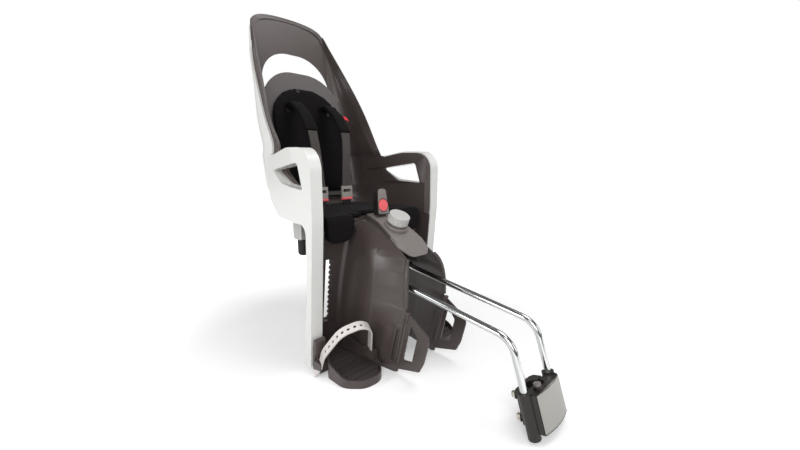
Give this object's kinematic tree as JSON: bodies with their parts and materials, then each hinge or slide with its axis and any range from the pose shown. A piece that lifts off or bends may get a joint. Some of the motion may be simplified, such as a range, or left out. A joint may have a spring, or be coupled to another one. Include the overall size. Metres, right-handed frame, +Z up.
{
  "type": "child bike seat",
  "caption": "Rear child bicycle seat: moulded shell with armrests, height-adjustable back, harness, leg channels, footrests, wheel guards and a bent rod carrier with a clip-on frame bracket.",
  "frame": {"origin": "middle of the box, on the floor that the footrests, leg channels and bracket stand on", "axes": "+X to the seated child's left, -Y forward along the rods to the bracket, +Z up"},
  "size_m": [0.39, 0.8188, 0.834],
  "materials": {
    "dark_plastic": "satin moulded polypropylene",
    "white_plastic": "semi-gloss",
    "grey_plastic": "satin",
    "pale_plastic": "matte",
    "strap_plastic": "soft satin",
    "black_plastic": "satin",
    "silver_plastic": "silver satin paint",
    "red_plastic": "semi-gloss",
    "black_fabric": "padded cloth",
    "webbing": "woven",
    "rubber": "matte",
    "chromed_steel": "polished",
    "zinc_steel": "zinc plated"
  },
  "bodies": {
    "seat": {"seat_shell": "dark_plastic", "leg_channel_left": "dark_plastic", "leg_channel_right": "dark_plastic", "side_frame_left": "white_plastic", "side_frame_right": "white_plastic", "arm_lining_left": "dark_plastic", "arm_lining_right": "dark_plastic", "back_cover": "white_plastic", "console_plate": "grey_plastic", "knob_collar": "grey_plastic", "seat_pad": "black_fabric", "crotch_strap": "webbing", "buckle_body": "dark_plastic", "rear_housing": "pale_plastic", "rear_bumper_left": "rubber", "rear_bumper_right": "rubber", "guard_pin_left": "zinc_steel", "guard_pin_right": "zinc_steel", "pivot_pin": "zinc_steel"},
    "back": {"back_panel": "grey_plastic", "back_pad": "black_fabric", "back_studs": "black_plastic", "shoulder_pad_left": "black_fabric", "shoulder_pad_right": "black_fabric", "harness_strap_left": "webbing", "harness_strap_right": "webbing", "strap_adjuster_left": "pale_plastic", "strap_adjuster_right": "pale_plastic", "adjuster_lever_left": "red_plastic", "adjuster_lever_right": "red_plastic", "latch_tongue_left": "black_plastic", "latch_tongue_right": "black_plastic"},
    "carrier": {"carrier_bar": "chromed_steel", "carrier_cradle": "black_plastic"},
    "bracket": {"bracket_body": "black_plastic", "bracket_cover": "silver_plastic", "clamp_jaw": "black_plastic", "clamp_plates": "zinc_steel", "clamp_bolts": "zinc_steel"},
    "bracket_lock": {"lock_button": "pale_plastic"},
    "knob": {"recline_knob": "pale_plastic"},
    "button": {"buckle_button": "red_plastic"},
    "foot_left": {"footrest_left": "dark_plastic", "foot_sole_left": "rubber", "foot_strap_left": "strap_plastic"},
    "guard_left": {"wheel_guard_left": "dark_plastic"},
    "foot_right": {"footrest_right": "dark_plastic", "foot_sole_right": "rubber", "foot_strap_right": "strap_plastic"},
    "guard_right": {"wheel_guard_right": "dark_plastic"}
  },
  "joints": [
    {"name": "recline", "type": "hinge", "parent": "seat", "child": "carrier", "pos_m": [0, 0.10832, 0.258], "axis": [1, 0, 0], "range_deg": [0, 15]},
    {"name": "knob_turn", "type": "hinge", "parent": "seat", "child": "knob", "pos_m": [0, -0.03068, 0.2985], "axis": [0, -0.4226, 0.9063], "range_deg": [0, 720]},
    {"name": "back_height", "type": "slide", "parent": "seat", "child": "back", "axis": [0, 0.2195, 0.9756], "range_m": [0, 0.08]},
    {"name": "buckle_press", "type": "slide", "parent": "seat", "child": "button", "axis": [0, 0.9903, -0.1386], "range_m": [0, 0.003], "stiffness_N_per_m": 600},
    {"name": "bracket_plug", "type": "slide", "parent": "carrier", "child": "bracket", "axis": [0, -0.309, -0.9511], "range_m": [0, 0.075]},
    {"name": "lock_press", "type": "slide", "parent": "bracket", "child": "bracket_lock", "axis": [0, -0.309, -0.9511], "range_m": [0, 0.004], "stiffness_N_per_m": 600},
    {"name": "footrest_height_left", "type": "slide", "parent": "seat", "child": "foot_left", "axis": [0, -0.1289, 0.9917], "range_m": [0, 0.12]},
    {"name": "guard_swing_left", "type": "hinge", "parent": "seat", "child": "guard_left", "pos_m": [-0.0615, -0.09218, 0.004], "axis": [0, 0.2474, -0.9689], "range_deg": [-10, 70]},
    {"name": "footrest_height_right", "type": "slide", "parent": "seat", "child": "foot_right", "axis": [0, -0.1289, 0.9917], "range_m": [0, 0.12]},
    {"name": "guard_swing_right", "type": "hinge", "parent": "seat", "child": "guard_right", "pos_m": [0.0615, -0.09218, 0.004], "axis": [0, -0.2474, 0.9689], "range_deg": [-10, 70]}
  ]
}
